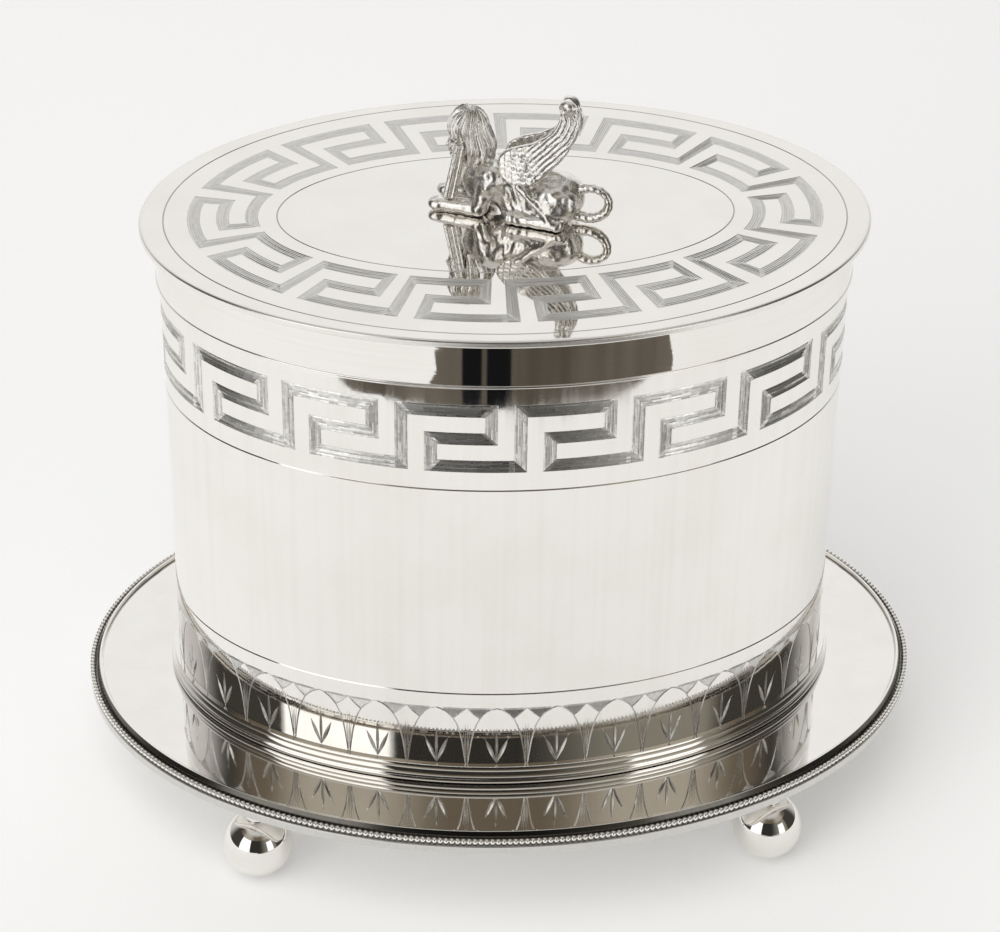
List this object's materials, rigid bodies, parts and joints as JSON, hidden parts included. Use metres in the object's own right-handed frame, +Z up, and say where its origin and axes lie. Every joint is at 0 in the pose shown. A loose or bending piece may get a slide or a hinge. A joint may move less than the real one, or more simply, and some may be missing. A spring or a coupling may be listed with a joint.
{
  "type": "biscuit box",
  "caption": "Oval silver-plated biscuit box fixed on an oval tray with ball feet, with a hinged lid, engraved key and leaf bands, and a reclining sphinx finial.",
  "frame": {"origin": "on the surface that the feet stand on, under the middle of the oval", "axes": "+X along the oval, +Z up; the front of the picture faces -Y and the hinge is at +Y"},
  "size_m": [0.2562, 0.1902, 0.2249],
  "materials": {
    "silver_plate": "polished silver plate, hand engraved",
    "silver_inside": "silver plate, less polished, inside the box",
    "cast_silver": "cast, chased and plated, with darker hollows",
    "nickel_fixing": "nickel silver pin, stud, washer and nut"
  },
  "bodies": {
    "box": {"ball_foot_front_left": "silver_plate", "ball_foot_front_right": "silver_plate", "ball_foot_back_left": "silver_plate", "ball_foot_back_right": "silver_plate", "foot_neck_front_left": "silver_plate", "foot_neck_front_right": "silver_plate", "foot_neck_back_left": "silver_plate", "foot_neck_back_right": "silver_plate", "tray_plate": "silver_plate", "tray_rim": "silver_plate", "tray_beading": "silver_plate", "box_wall": "silver_plate", "foot_moulding": "silver_plate", "hinge_box_leaf": "silver_plate", "box_floor": "silver_inside", "box_bezel": "silver_inside", "hinge_pin": "nickel_fixing"},
    "lid": {"lid_plate": "silver_plate", "lid_skirt": "silver_plate", "hinge_lid_leaf": "silver_plate", "sphinx_body": "cast_silver", "sphinx_head": "cast_silver", "sphinx_wing_left": "cast_silver", "sphinx_wing_right": "cast_silver", "sphinx_tail": "cast_silver", "finial_stud": "nickel_fixing", "finial_washer": "nickel_fixing", "finial_nut": "nickel_fixing"}
  },
  "joints": [
    {"name": "lid_hinge", "type": "hinge", "parent": "box", "child": "lid", "pos_m": [0, 0.0704, 0.1681], "axis": [-1, 0, 0], "range_deg": [0, 100]}
  ]
}
